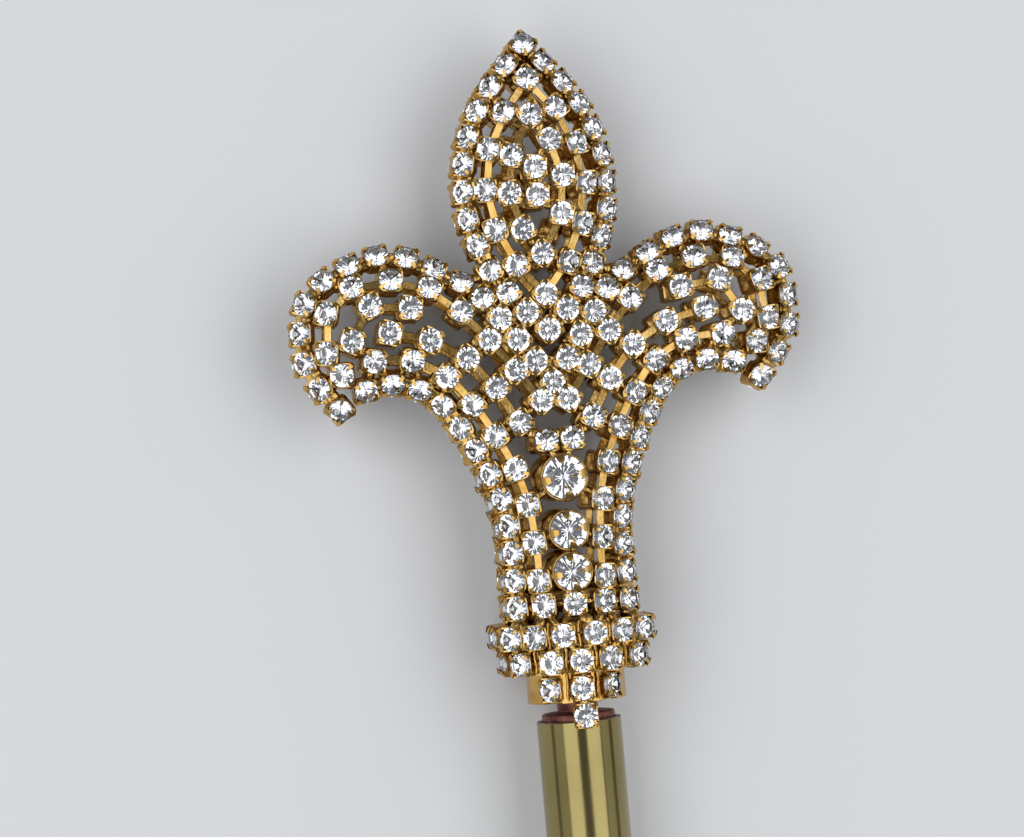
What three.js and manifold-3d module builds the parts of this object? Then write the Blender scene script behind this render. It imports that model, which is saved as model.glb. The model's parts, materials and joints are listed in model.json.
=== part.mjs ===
// A pageant sceptre: a hollow fleur-de-lis head of gold-plated cup chain set with rhinestones,
// on a polished brass tube. Two nets of cups, front and back, are joined round their rims.
//
// Lengths are in millimetres. Everything is drawn with the sceptre upright: x across the head,
// y along the shaft with y = 0 at the tube's upper end, z towards the front. The last group
// lays the sceptre down on its back, with +Z up and +Y towards the tip.
import * as THREE from "three";
import { mergeVertices } from "three/addons/utils/BufferGeometryUtils.js";
import Module from "manifold-3d";

const wasm = await Module();
wasm.setup();

// Handle
const TUBE = { radius: 7.95, wall: 1, length: 400 };
const PLUG = { radius: 6.9, lip: 1, chamfer: 0.4, spigot: 14 };
const POST = { radius: 3.8, flange: 6.5, flangeFrom: 4.2, flangeTo: 8 };
const SEAM = 0.3; // clearance between neighbouring pieces

// One small setting: a square cup with a round stone standing a little above its rim
const CUP = { width: 4, stoneWidth: 3.5, stoneRise: 0.8, crowding: 0.77 };
const HAND_SET = THREE.MathUtils.degToRad(4);
const SUNK = 2.1; // how far a cup's foot is carried below its rim, into what it is soldered to

// The net's surface is the level of the cups' rims. It falls away towards the outline.
const SURFACE = { rimLevel: 3.95, rise: 3, slopeWidth: 10, overhang: 2.4 };
const LINKS = { below: 1.4, lowest: SEAM / 2 }; // the plate of links, measured below the cups' rims
const OPENINGS = { spacing: 0.5, smallest: 1.5, bridge: 0.5 };
// The hollow between the two nets, inside the outline, and its deeper parts along the stem
const HOLLOW = { inset: 3, height: 3 };
const STEM_HOLLOWS = [
  { width: 40, height: 2.3, to: 50 },
  { width: 40, height: 3.6, to: 46 },
  { width: 11, height: 6.9, to: 50 },
];
// Below the crossing the two nets part, and a chain of cups closes each side.
const STEM = { foot: 19.2, sideLevel: 7, partsAt: 60, partedAt: 43 };
const SIDE_CHAIN = { from: 46, to: 21.8, cups: 6, out: 1.5, strap: 3.2 };

// The leaf: nested loops of cups, widest at its waist. The third is turned a little way round.
const LEAF_WAIST = 99.6;
const LEAF_LOOPS = [
  { top: 126.9, foot: 73, half: 13.7, steps: 12 },
  { top: 120.1, foot: 79.6, half: 9.6, steps: 6 },
  { top: 113.2, foot: 87.2, half: 5.2, steps: 4, turned: 1.3 },
  { top: 103.4, foot: 98.2, half: 0, steps: 1 },
];
const LEAF_CURVE = { shoulder: 0.56, point: 0.27, above: 0.46, below: 0.37, heel: 0.23 };
const LEAF_RIM_CUPS = 10; // cups of the rim loop above the notch beside the wing

// A wing's rows: evenly spaced cups on smooth curves, each from the wing in to the crossing
const WING_RIM = {
  steps: 10,
  through: [[39.8, 61.1], [45.9, 70.3], [43.7, 83.4], [29.1, 89.5], [15.3, 83.3]],
};
const UNDER_RIM = {
  steps: 11,
  through: [[34.7, 64.3], [28.2, 64.8], [20.3, 59.7], [11.5, 41.4], [10.7, 21.9]],
};
const WING_ROWS = [
  { steps: 4, through: [[11.8, 79.9], [0, 63.2]] },
  { steps: 8, through: [[41.7, 71.9], [38.9, 82.8], [20.9, 82.3], [2.5, 59.9]] },
  { steps: 2, through: [[36.7, 73.7], [33.1, 79.9], [25.4, 79.1]] },
  { steps: 4, through: [[29.6, 74.7], [22.7, 73], [13.9, 67.4], [6.9, 56.3]] },
  { steps: 8, through: [[32.8, 69.6], [20.6, 66.6], [8.4, 46.7], [6.3, 26.7]] },
];
const LONE_CUPS = [[39.1, 67.6], [2.4, 52.6], [5.8, 22], [0, 22]];

// The three large stones down the middle of the stem
const LARGE_STONES = [
  { y: 45.4, radius: 4 },
  { y: 35.6, radius: 3.4 },
  { y: 27.8, radius: 3.4 },
];
const LARGE = { wall: 1.1, seatGap: 0.5, foot: 0.8 }; // the cup round a large stone
const CUT = { crown: 1.3, girdle: 0.4, pavilion: 1.6, table: 0.55 }; // the stone itself

// The collar's bands of cups, from the widest down
const COLLAR = { level: 12.4, flat: 3, fall: 3, wall: 1.2, behind: 1.5, side: 2.2, shelf: 0.9 };
const COLLAR_ROWS = [
  { y: 16.4, across: [3, 8.3, 12.6], sideSpread: 2.9, from: 13.9, to: 18.8 },
  { y: 11.5, across: [0, 5.6, 11.1], sideSpread: 2.9, from: 9.3, to: 14.2 },
];
const RING = { y: 6.3, radius: 10.1, spread: 36, band: 9.3, bore: 6.8, from: 3.6 };
// The single cup that hangs at the point of the collar, on its link
const DROP = { y: 1.3, level: 11.6, link: { width: 1.5, height: 1.8, depth: 1.5 } };

const gold = new THREE.MeshStandardMaterial({ color: 0xd9a83c, roughness: 0.25, metalness: 1 });
const brass = new THREE.MeshStandardMaterial({ color: 0xb8a258, roughness: 0.3, metalness: 1 });
const copper = new THREE.MeshStandardMaterial({ color: 0x6b3a2e, roughness: 0.55, metalness: 0.6 });
const crystal = new THREE.MeshPhysicalMaterial({ color: 0xf4f6ff, roughness: 0, transmission: 1 });

// Solids

function solid(geometry) {
  const bare = geometry.clone();
  bare.deleteAttribute("normal");
  bare.deleteAttribute("uv");
  const merged = mergeVertices(bare, 1e-4);
  return new wasm.Manifold(
    new wasm.Mesh({
      numProp: 3,
      vertProperties: merged.attributes.position.array,
      triVerts: new Uint32Array(merged.index.array),
    }),
  );
}

function geometryOf(made) {
  const { numProp, vertProperties, triVerts, numVert } = made.getMesh();
  const positions = new Float32Array(numVert * 3);
  for (let i = 0; i < numVert; i++)
    positions.set(vertProperties.subarray(i * numProp, i * numProp + 3), i * 3);
  return new THREE.BufferGeometry()
    .setAttribute("position", new THREE.BufferAttribute(positions, 3))
    .setIndex(new THREE.BufferAttribute(new Uint32Array(triVerts), 1));
}

const fuse = (solids) => solids.reduce((whole, next) => whole.add(next));

function mesh(name, shape, material) {
  const geometry = shape.isBufferGeometry ? shape : geometryOf(shape);
  const made = new THREE.Mesh(geometry, material);
  made.name = name;
  return made;
}

// Rows of cups. A cup is its place {x, y} and turn, the direction in which its row runs.

function cupsAlong(path, steps, slide = 0) {
  const along = slide / path.getLength();
  return Array.from({ length: steps + 1 }, (_, i) => {
    const part = i / steps + (i > 0 && i < steps ? along : 0);
    const at = path.getPoint(part);
    const ahead = path.getTangent(part);
    return { x: at.x, y: at.y, turn: Math.atan2(ahead.y, ahead.x) };
  });
}

// One half of a loop of the leaf, from its point round to its foot
function leafLoop({ top, foot, half, steps, turned = 0 }, side) {
  const path = new THREE.Path().moveTo(0, top);
  if (half === 0) return cupsAlong(path.lineTo(0, foot), steps);
  const { shoulder, point, above, below, heel } = LEAF_CURVE;
  const up = top - LEAF_WAIST;
  const down = LEAF_WAIST - foot;
  const close = shoulder * half;
  path.bezierCurveTo(close, top - point * up, half, LEAF_WAIST + above * up, half, LEAF_WAIST);
  path.bezierCurveTo(half, LEAF_WAIST - below * down, close, foot + heel * down, 0, foot);
  return cupsAlong(path, steps, -side * turned);
}

function row({ steps, through }) {
  const [first, ...rest] = through.map(([x, y]) => new THREE.Vector2(x, y));
  return cupsAlong(new THREE.Path().moveTo(first.x, first.y).splineThru(rest), steps);
}

const mirrored = ({ x, y, turn }) => ({ x: -x, y, turn: Math.PI - turn });

// Each cup was set by hand, so it is turned a touch from the line of its row.
const handSet = (cup, i) => ({ ...cup, turn: cup.turn + HAND_SET * Math.sin(5 * i) });

const leafRim = leafLoop(LEAF_LOOPS[0], 1);
const wingRim = row(WING_RIM);
const underRim = row(UNDER_RIM);
const wingCups = [...wingRim, ...underRim, ...WING_ROWS.flatMap(row)];
const loneCups = LONE_CUPS.map(([x, y]) => ({ x, y, turn: 0 }));
const [rightCups, leftCups] = [1, -1].map((side) => [
  ...LEAF_LOOPS.flatMap((loop) => leafLoop(loop, side)),
  ...wingCups,
  ...loneCups,
]);
const netCups = [...rightCups, ...leftCups.filter((c) => c.x > 0.5).map(mirrored)].map(handSet);

// The head's outline through the rim cups, from the stem's right foot round to its left
const rightRim = [
  ...underRim.toReversed(),
  ...wingRim,
  ...leafRim.slice(0, LEAF_RIM_CUPS).toReversed(),
].map((c) => new THREE.Vector2(c.x, c.y));
const leftRim = rightRim
  .slice(0, -1)
  .toReversed()
  .map((p) => new THREE.Vector2(-p.x, p.y));
const rim = [...rightRim, ...leftRim];

// The net's surface

function insideRim(x, y) {
  let inside = false;
  rim.forEach((a, i) => {
    const b = rim[(i + 1) % rim.length];
    if (a.y > y !== b.y > y && x < a.x + ((y - a.y) / (b.y - a.y)) * (b.x - a.x)) inside = !inside;
  });
  return inside;
}

// Distance inside the outline; the net runs straight down below its lowest cups.
function fromRim(x, y) {
  const here = new THREE.Vector3(x, Math.max(y, rim[0].y + 0.1), 0);
  const near = new THREE.Vector3();
  const edge = new THREE.Line3();
  let least = Infinity;
  for (let i = 0; i < rim.length - 1; i++) {
    edge.start.set(rim[i].x, rim[i].y, 0);
    edge.end.set(rim[i + 1].x, rim[i + 1].y, 0);
    least = Math.min(least, edge.closestPointToPoint(here, true, near).distanceTo(here));
  }
  return insideRim(here.x, here.y) ? least : -least;
}

// Height of the cups' rims above the mid-plane
function surface(x, y) {
  const { rimLevel, rise, slopeWidth } = SURFACE;
  const inward = fromRim(x, y) / slopeWidth;
  const parting = THREE.MathUtils.smoothstep(-y, -STEM.partsAt, -STEM.partedAt);
  const level = THREE.MathUtils.lerp(rimLevel, STEM.sideLevel, parting);
  if (inward < 0) return level + 2 * rise * inward;
  return level + rise * (1 - (1 - Math.min(inward, 1)) ** 2);
}

function surfaceNormal(x, y) {
  const step = 0.4;
  return new THREE.Vector3(
    surface(x - step, y) - surface(x + step, y),
    surface(x, y - step) - surface(x, y + step),
    2 * step,
  ).normalize();
}

// Settings

// A square stud for a small cup and its stone, narrowed at the stone's end. Its rim's middle is at
// a place, it faces outward, and its row runs along.
function stud(place, outward, along) {
  const shape = new THREE.BoxGeometry(CUP.width, CUP.stoneRise + SUNK, CUP.width);
  shape.translate(0, (CUP.stoneRise - SUNK) / 2, 0);
  const corner = shape.attributes.position;
  for (let i = 0; i < corner.count; i++) {
    const narrowed = corner.getY(i) > 0 ? CUP.stoneWidth / CUP.width : 1;
    corner.setX(i, corner.getX(i) * narrowed).setZ(i, corner.getZ(i) * narrowed);
  }
  const row = along.clone().addScaledVector(outward, -along.dot(outward)).normalize();
  const across = new THREE.Vector3().crossVectors(row, outward);
  shape.applyMatrix4(new THREE.Matrix4().makeBasis(row, outward, across).setPosition(place));
  return solid(shape);
}

const netStud = ({ x, y, turn }) =>
  stud(
    new THREE.Vector3(x, y, surface(x, y)),
    surfaceNormal(x, y),
    new THREE.Vector3(Math.cos(turn), Math.sin(turn), 0),
  );

// Turned forms, upright about y, with a profile of [radius, height]
function turned(profile, segments) {
  const points = profile.map(([r, h]) => new THREE.Vector2(r, h));
  return new THREE.LatheGeometry(points, segments);
}

function largeStone({ y, radius }) {
  const { crown, girdle, pavilion, table } = CUT;
  const profile = [
    [0, -pavilion],
    [radius, 0],
    [radius, girdle],
    [radius * table, crown],
    [0, crown],
  ];
  return turned(profile, 10).rotateX(Math.PI / 2).translate(0, y, surface(0, y));
}

// The nets. Each setting is a stack of rings that stands in the plate of links, from its foot up.
// The last ring is closed across, or down to a tip.

const around = (count) => Array.from({ length: count }, (_, i) => (i / count) * 2 * Math.PI);

const onPlate = (x, y) => new THREE.Vector3(x, y, surface(x, y) - LINKS.below);

// A small setting, drawn a little narrower where its neighbours crowd it
function smallSetting({ x, y, turn }) {
  const apart = netCups.map((c) => Math.hypot(c.x - x, c.y - y)).filter((d) => d > 0);
  const width = Math.min(CUP.width, CUP.crowding * Math.min(...apart));
  const outward = surfaceNormal(x, y);
  const middle = new THREE.Vector3(x, y, surface(x, y));
  const row = new THREE.Vector3(Math.cos(turn), Math.sin(turn), 0).projectOnPlane(outward).normalize();
  const across = new THREE.Vector3().crossVectors(outward, row);
  const square = (size, height) =>
    [[1, -1], [1, 1], [-1, 1], [-1, -1]].map(([i, j]) =>
      middle
        .clone()
        .addScaledVector(outward, height)
        .addScaledVector(row, (i * size) / 2)
        .addScaledVector(across, (j * size) / 2),
    );
  const foot = square(width, 0).map((p) => onPlate(p.x, p.y));
  return { rings: [foot, square((width * CUP.stoneWidth) / CUP.width, CUP.stoneRise)] };
}

function largeSetting({ y, radius }) {
  const level = surface(0, y);
  const ring = (r, height) =>
    around(12).map((a) => new THREE.Vector3(r * Math.cos(a), y + r * Math.sin(a), level + height));
  const outer = radius + LARGE.wall;
  const foot = ring(outer * LARGE.foot, 0).map((p) => onPlate(p.x, p.y));
  const tip = new THREE.Vector3(0, y, level - CUT.pavilion - LARGE.seatGap);
  return { rings: [foot, ring(outer, 0), ring(radius + LARGE.seatGap, 0)], tip };
}

// The outline carried outward, square to its sides
function grown(points, by) {
  return points.map((p, i) => {
    const before = points[Math.max(i - 1, 0)];
    const after = points[Math.min(i + 1, points.length - 1)];
    const [into, out] = [p.clone().sub(before), after.clone().sub(p)].map((v) => v.normalize());
    const ahead = into.clone().add(out).normalize();
    const mitre = by / Math.max(ahead.dot(into), ahead.dot(out));
    return new THREE.Vector2(p.x + ahead.y * mitre, p.y - ahead.x * mitre);
  });
}

// The largest openings between the settings' feet and the outline, as diamonds
function openings(feet) {
  const { spacing, smallest, bridge } = OPENINGS;
  const flat = [...feet, rim].map((ring) => ring.map((p) => new THREE.Vector3(p.x, p.y, 0)));
  const edges = flat.flatMap((ring) =>
    ring.map((p, i) => new THREE.Line3(p, ring[(i + 1) % ring.length])),
  );
  const near = new THREE.Vector3();
  const places = [];
  for (let x = -40; x <= 40; x += spacing)
    for (let y = 24; y < 122; y += spacing) {
      const here = new THREE.Vector3(x, y, 0);
      const toEdge = (edge) => edge.closestPointToPoint(here, true, near).distanceTo(here);
      const room = insideRim(x, y) ? Math.min(...edges.map(toEdge)) - bridge : 0;
      const onStone = LARGE_STONES.some((s) => Math.hypot(x, y - s.y) < s.radius);
      const covered = onStone || netCups.some((c) => Math.hypot(x - c.x, y - c.y) < CUP.width / 2);
      if (room > smallest && !covered) places.push({ x, y, room });
    }
  places.sort((a, b) => b.room - a.room);
  const kept = [];
  for (const place of places) {
    const apart = (c) => Math.hypot(c.x - place.x, c.y - place.y) > c.room + place.room + bridge;
    if (kept.every(apart)) kept.push(place);
  }
  return kept.map(({ x, y, room }, i) => {
    const corners = around(4).map((a) => a + 2 * HAND_SET * Math.sin(3 * i));
    return corners.map((a) => onPlate(x + room * Math.cos(a), y + room * Math.sin(a)));
  });
}

// The plate of links with its settings and openings, flat underneath
function settingsOnPlate() {
  const positions = [];
  const faces = [];
  const add = (points) => points.map((p) => positions.push(p.x, p.y, p.z) / 3 - 1);
  const wall = (lower, upper) =>
    lower.forEach((a, i) => {
      const next = (i + 1) % lower.length;
      faces.push(a, lower[next], upper[next], a, upper[next], upper[i]);
    });
  const sheet = (contour, holes, level, downward) => {
    const rings = [contour, ...holes.map((ring) => ring.toReversed())];
    const at = rings.flatMap((ring) => add(ring.map(level)));
    const [outer, ...inner] = rings.map((ring) => ring.map((p) => new THREE.Vector2(p.x, p.y)));
    for (const face of THREE.ShapeUtils.triangulateShape(outer, inner))
      faces.push(...(downward ? face.toReversed() : face).map((i) => at[i]));
  };

  const edge = grown(rim, SURFACE.overhang);
  const corners = [edge.at(-1), edge[0]].map((p) => ({ x: p.x, y: STEM.foot }));
  const outline = [...edge, ...corners].map((p) => onPlate(p.x, p.y));
  const settings = [...netCups.map(smallSetting), ...LARGE_STONES.map(largeSetting)];
  const feet = settings.map(({ rings }) => rings[0]);
  const holes = openings(feet);
  const lowered = (p) => p.clone().setZ(LINKS.lowest);
  sheet(outline, [...feet, ...holes], (p) => p, false);
  sheet(outline, holes, lowered, true);
  wall(add(outline.map(lowered)), add(outline));
  for (const hole of holes) wall(add(hole), add(hole.map(lowered)));
  for (const { rings, tip } of settings) {
    const levels = rings.map(add);
    levels.slice(1).forEach((ring, i) => wall(levels[i], ring));
    const last = levels.at(-1);
    if (tip) {
      const [end] = add([tip]);
      last.forEach((a, i) => faces.push(a, last[(i + 1) % last.length], end));
    } else last.slice(2).forEach((a, i) => faces.push(last[0], last[i + 1], a));
  }
  return new THREE.BufferGeometry()
    .setAttribute("position", new THREE.Float32BufferAttribute(positions, 3))
    .setIndex(faces);
}

function net() {
  const inner = new THREE.Shape(grown(rim, -HOLLOW.inset));
  const depth = 2 * HOLLOW.height;
  const hollow = new THREE.ExtrudeGeometry(inner, { depth, bevelEnabled: false });
  const stemHollows = STEM_HOLLOWS.map(({ width, height, to }) =>
    new THREE.BoxGeometry(width, to, 2 * height).translate(0, to / 2, 0),
  );
  const hollows = [hollow.translate(0, 0, -HOLLOW.height), ...stemHollows];
  return hollows.reduce((whole, part) => whole.subtract(solid(part)), solid(settingsOnPlate()));
}

// The chain that closes one side of the stem, facing outward
function sideChain() {
  const { from, to, cups, out, strap } = SIDE_CHAIN;
  const places = Array.from({ length: cups }, (_, i) => {
    const y = THREE.MathUtils.mapLinear(i, 0, cups - 1, from, to);
    const edge = underRim.reduce((a, b) => (Math.abs(b.y - y) < Math.abs(a.y - y) ? b : a));
    return new THREE.Vector3(edge.x + out, y, 0);
  });
  const up = new THREE.Vector3(0, 1, 0);
  const outward = new THREE.Vector3(1, 0, 0);
  const inner = (p) => new THREE.Vector2(p.x - SUNK, p.y);
  const outer = (p) => new THREE.Vector2(p.x - LINKS.below, p.y);
  const strip = new THREE.Shape([...places.map(inner), ...places.toReversed().map(outer)]);
  const back = new THREE.ExtrudeGeometry(strip, { depth: strap, bevelEnabled: false });
  const studs = places.map((p) => stud(p, outward, up));
  return fuse([solid(back.translate(0, 0, -strap / 2)), ...studs]);
}

// The collar

// Depth of a collar band's front at x, flat in the middle and falling away to the sides
function collarLevel(x, half) {
  const beyond = Math.max(0, Math.abs(x) - COLLAR.flat) / (half - COLLAR.flat);
  return COLLAR.level - COLLAR.fall * beyond ** 2;
}

// A band's section as a shape in x and z: bowed front and back, straight sides
function bandSection(half, inset) {
  const reach = half + COLLAR.side;
  const steps = 6;
  const front = Array.from({ length: steps + 1 }, (_, i) => {
    const x = THREE.MathUtils.lerp(1, -1, i / steps);
    return new THREE.Vector2(x * (reach - inset), collarLevel(x * half, half) - inset);
  });
  return [...front, ...front.map((p) => new THREE.Vector2(-p.x, -p.y))];
}

function tubeOf(outer, inner, from, to) {
  const shape = new THREE.Shape(outer);
  shape.holes = [new THREE.Path(inner)];
  const made = new THREE.ExtrudeGeometry(shape, { depth: to - from, bevelEnabled: false });
  return solid(made.rotateX(Math.PI / 2).translate(0, to, 0));
}

function circle(radius, segments = 20) {
  return Array.from({ length: segments }, (_, i) => {
    const a = (i / segments) * 2 * Math.PI;
    return new THREE.Vector2(radius * Math.cos(a), radius * Math.sin(a));
  });
}

function rowStuds({ y, across, sideSpread }) {
  const half = across.at(-1);
  const crosswise = new THREE.Vector3(1, 0, 0);
  const front = across.map((x) => {
    const fall = (2 * COLLAR.fall * Math.max(0, x - COLLAR.flat)) / (half - COLLAR.flat) ** 2;
    const outward = new THREE.Vector3(fall, 0, 1).normalize();
    return { place: new THREE.Vector3(x, y, collarLevel(x, half)), outward, along: crosswise };
  });
  const side = {
    place: new THREE.Vector3(half + COLLAR.side, y, sideSpread),
    outward: new THREE.Vector3(1, 0, 0),
    along: new THREE.Vector3(0, 0, 1),
  };
  return [...front, side].flatMap(({ place, outward, along }) => {
    const flips = place.x === 0 ? [1] : [1, -1];
    return flips.flatMap((sx) =>
      [1, -1].map((sz) => {
        const flip = new THREE.Vector3(sx, 1, sz);
        return stud(place.clone().multiply(flip), outward.clone().multiply(flip), along);
      }),
    );
  });
}

// Three cups on the front of the ring, one hanging from the middle one, and the same behind
function ringStuds() {
  const spread = THREE.MathUtils.degToRad(RING.spread);
  return [0, Math.PI].flatMap((facing) => {
    const cups = [-spread, 0, spread].map((a) => [a + facing, RING.radius, RING.y]);
    return [...cups, [facing, DROP.level, DROP.y]].map(([a, radius, y]) => {
      const outward = new THREE.Vector3(Math.sin(a), 0, Math.cos(a));
      const along = new THREE.Vector3(Math.cos(a), 0, -Math.sin(a));
      return stud(outward.clone().multiplyScalar(radius).setY(y), outward, along);
    });
  });
}

function collar() {
  const narrowest = COLLAR_ROWS[1].across.at(-1);
  const inner = bandSection(narrowest, COLLAR.behind + COLLAR.wall);
  const shelfTop = COLLAR_ROWS[1].from + COLLAR.shelf;
  const section = bandSection(narrowest, COLLAR.behind);
  const shelf = tubeOf(section, circle(RING.bore), COLLAR_ROWS[1].from, shelfTop);
  const bands = COLLAR_ROWS.map(({ across, from, to }) =>
    tubeOf(bandSection(across.at(-1), COLLAR.behind), inner, from, to),
  );
  const ring = tubeOf(circle(RING.band), circle(RING.bore), RING.from, shelfTop);
  const { width, height, depth } = DROP.link;
  const links = [1, -1].map((side) => {
    const bar = new THREE.BoxGeometry(width, height, depth);
    return solid(bar.translate(0, RING.from, side * (DROP.level - SUNK)));
  });
  const studs = [...COLLAR_ROWS.flatMap(rowStuds), ...ringStuds()];
  return fuse([...bands, shelf, ring, ...links, ...studs]);
}

// The handle

function handleTube() {
  const { radius, wall, length } = TUBE;
  const profile = [
    [radius - wall, 0],
    [radius - wall, -length],
    [radius, -length],
    [radius, 0],
    [radius - wall, 0],
  ];
  return turned(profile, 32);
}

// The plug's profile from its spigot in the tube up to its lip
function plugProfile() {
  const spigot = TUBE.radius - TUBE.wall - SEAM;
  return [
    [0, -PLUG.spigot],
    [spigot, -PLUG.spigot],
    [spigot, SEAM],
    [PLUG.radius, SEAM],
    [PLUG.radius, SEAM + PLUG.lip - PLUG.chamfer],
    [PLUG.radius - PLUG.chamfer, SEAM + PLUG.lip],
  ];
}

function topPlug() {
  const { radius, flange, flangeFrom, flangeTo } = POST;
  const profile = [
    ...plugProfile(),
    [radius, SEAM + PLUG.lip],
    [radius, flangeFrom],
    [flange, flangeFrom],
    [flange, flangeTo],
    [0, flangeTo],
  ];
  return turned(profile, 18);
}

const endPlug = () =>
  turned([...plugProfile(), [0, SEAM + PLUG.lip]], 18)
    .rotateX(Math.PI)
    .translate(0, -TUBE.length, 0);

// Assembly

const upright = new THREE.Group();
upright.add(
  mesh("handle_tube", handleTube(), brass),
  mesh("top_plug", topPlug(), copper),
  mesh("end_plug", endPlug(), copper),
  mesh("collar", collar(), gold),
);
const netShape = geometryOf(net());
const chainShape = geometryOf(sideChain());
for (const [side, turn] of [["front", 0], ["back", Math.PI]]) {
  const face = new THREE.Group();
  face.rotation.y = turn;
  face.add(mesh(`head_${side}`, netShape, gold));
  face.add(mesh(`side_chain_${side === "front" ? "right" : "left"}`, chainShape, gold));
  LARGE_STONES.forEach((stone, i) => {
    face.add(mesh(`large_stone_${side}_${i + 1}`, largeStone(stone), crystal));
  });
  upright.add(face);
}

// Lying down, the sceptre rests on the back of its collar and on the lower end of its tube.
const collarLow = COLLAR.level + CUP.stoneRise;
const restSpan = TUBE.length + COLLAR_ROWS[0].y - CUP.stoneWidth / 2;
const lean = Math.atan((collarLow - TUBE.radius) / restSpan);
upright.rotation.x = lean;

const sceptre = new THREE.Group();
sceptre.add(upright);
sceptre.updateMatrixWorld(true);
const extent = new THREE.Box3().setFromObject(sceptre, true);
const centre = extent.getCenter(new THREE.Vector3());
upright.position.set(-centre.x, -centre.y, -extent.min.z);

export default sceptre;
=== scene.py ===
"""Looks of a pageant sceptre: gold cup chain set with foil-backed crystals, on a brass tube.

The head is laid out in its own frame in millimetres: x across the head, y along the shaft with
y = 0 at the tube's upper end, z towards the front. TO_ROW carries it to the row frame.
"""

import json
import math
import random

import bmesh
import bpy
import numpy as np
from mathutils import Matrix, Vector


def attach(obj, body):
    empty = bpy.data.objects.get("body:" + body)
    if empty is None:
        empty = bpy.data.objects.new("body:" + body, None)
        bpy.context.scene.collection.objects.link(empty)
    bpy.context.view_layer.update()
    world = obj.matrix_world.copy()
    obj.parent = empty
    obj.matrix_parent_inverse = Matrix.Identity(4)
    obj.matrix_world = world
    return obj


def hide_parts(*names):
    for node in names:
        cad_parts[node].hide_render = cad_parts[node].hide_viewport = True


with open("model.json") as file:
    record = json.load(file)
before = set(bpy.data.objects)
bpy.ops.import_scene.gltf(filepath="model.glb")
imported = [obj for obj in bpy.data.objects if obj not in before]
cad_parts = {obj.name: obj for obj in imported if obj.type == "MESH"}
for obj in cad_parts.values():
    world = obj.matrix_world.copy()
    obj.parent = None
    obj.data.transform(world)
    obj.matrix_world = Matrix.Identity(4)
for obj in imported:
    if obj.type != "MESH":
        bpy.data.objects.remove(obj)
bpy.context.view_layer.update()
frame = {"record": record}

MM = 0.001
rng = random.Random(7)

# Sizes shared with the part, in millimetres
TUBE = {"radius": 7.95, "wall": 1.0, "length": 400.0}
PLUG = {"radius": 6.9, "lip": 1.0, "chamfer": 0.4, "spigot": 14.0}
POST = {"radius": 3.8, "flange": 6.5, "flange_from": 4.2, "flange_to": 8.0}
SEAM = 0.3
HAND_SET = math.radians(4)  # how far a cup is turned out of its row
SURFACE = {"rim_level": 3.95, "rise": 3.0, "slope_width": 10.0}
STEM = {"side_level": 7.0, "parts_at": 60.0, "parted_at": 43.0}
SIDE_CHAIN = {"from": 46.0, "to": 21.8, "cups": 6, "out": 1.5}
LEAF_WAIST = 99.6
LEAF_LOOPS = [
    {"top": 126.9, "foot": 73.0, "half": 13.7, "steps": 12, "turned": 0.0},
    {"top": 120.1, "foot": 79.6, "half": 9.6, "steps": 6, "turned": 0.0},
    {"top": 113.2, "foot": 87.2, "half": 5.2, "steps": 4, "turned": 1.3},
    {"top": 103.4, "foot": 98.2, "half": 0.0, "steps": 1, "turned": 0.0},
]
LEAF_CURVE = {"shoulder": 0.56, "point": 0.27, "above": 0.46, "below": 0.37, "heel": 0.23}
LEAF_RIM_CUPS = 10
WING_RIM = (10, [(39.8, 61.1), (45.9, 70.3), (43.7, 83.4), (29.1, 89.5), (15.3, 83.3)])
UNDER_RIM = (11, [(34.7, 64.3), (28.2, 64.8), (20.3, 59.7), (11.5, 41.4), (10.7, 21.9)])
WING_ROWS = [
    (4, [(11.8, 79.9), (0, 63.2)]),
    (8, [(41.7, 71.9), (38.9, 82.8), (20.9, 82.3), (2.5, 59.9)]),
    (2, [(36.7, 73.7), (33.1, 79.9), (25.4, 79.1)]),
    (4, [(29.6, 74.7), (22.7, 73), (13.9, 67.4), (6.9, 56.3)]),
    (8, [(32.8, 69.6), (20.6, 66.6), (8.4, 46.7), (6.3, 26.7)]),
]
LONE_CUPS = [(39.1, 67.6), (2.4, 52.6), (5.8, 22), (0, 22)]
LARGE_STONES = [(45.4, 4.0), (35.6, 3.4), (27.8, 3.4)]
COLLAR = {"level": 12.4, "flat": 3.0, "fall": 3.0, "side": 2.2, "shelf": 0.9}
COLLAR_ROWS = [
    {"y": 16.4, "across": [3, 8.3, 12.6], "side_spread": 2.9, "from": 13.9, "to": 18.8},
    {"y": 11.5, "across": [0, 5.6, 11.1], "side_spread": 2.9, "from": 9.3, "to": 14.2},
]
RING = {"y": 6.3, "radius": 10.1, "spread": 36.0, "band": 9.3, "bore": 6.8, "from": 3.6}
DROP = {"y": 1.3, "level": 11.6, "turned_up": 0.18}

# What only the looks need, in millimetres

# How unevenly the settings stand: the spread of their tilts, and of their rims' level
UNEVEN = {"tilt": math.radians(2.2), "level": 0.12}

# A small setting: a square cup, whose heights are measured from its rim
CUP = {"width": 4.55, "depth": 3.0, "foot": 3.7, "corner": 0.8, "wall": 0.28, "shoulder": 1.5}
CUP_INSIDE = {"straight": 0.9, "well": 1.4, "floor": 0.5, "corner": 0.65}
CUP_RIM = {"claw": 0.12, "beside": -0.02, "low": -0.42}
CLAW = {"width": 0.7, "tip": 0.46, "thick": 0.3}

# The stones. A facet ends at the culet, a share of the radius wide; a foil's point is a share of the
# pavilion deep. A cup that faces sideways holds its stone deeper.
STONE = {"radius": 2.16, "table": 1.22, "crown": 0.62, "girdle": 0.12, "pavilion": 1.75, "seat": 0.02}
LOOSE = {"spin": 1.6, "tilt": 0.03, "side_sunk": 0.4, "sideways": 0.95}
FACETS = {"mains": 8, "culet": 0.07}
FOIL = {"gap": 0.03, "thick": 0.05, "below": 0.06, "point": 1.075}

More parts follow.
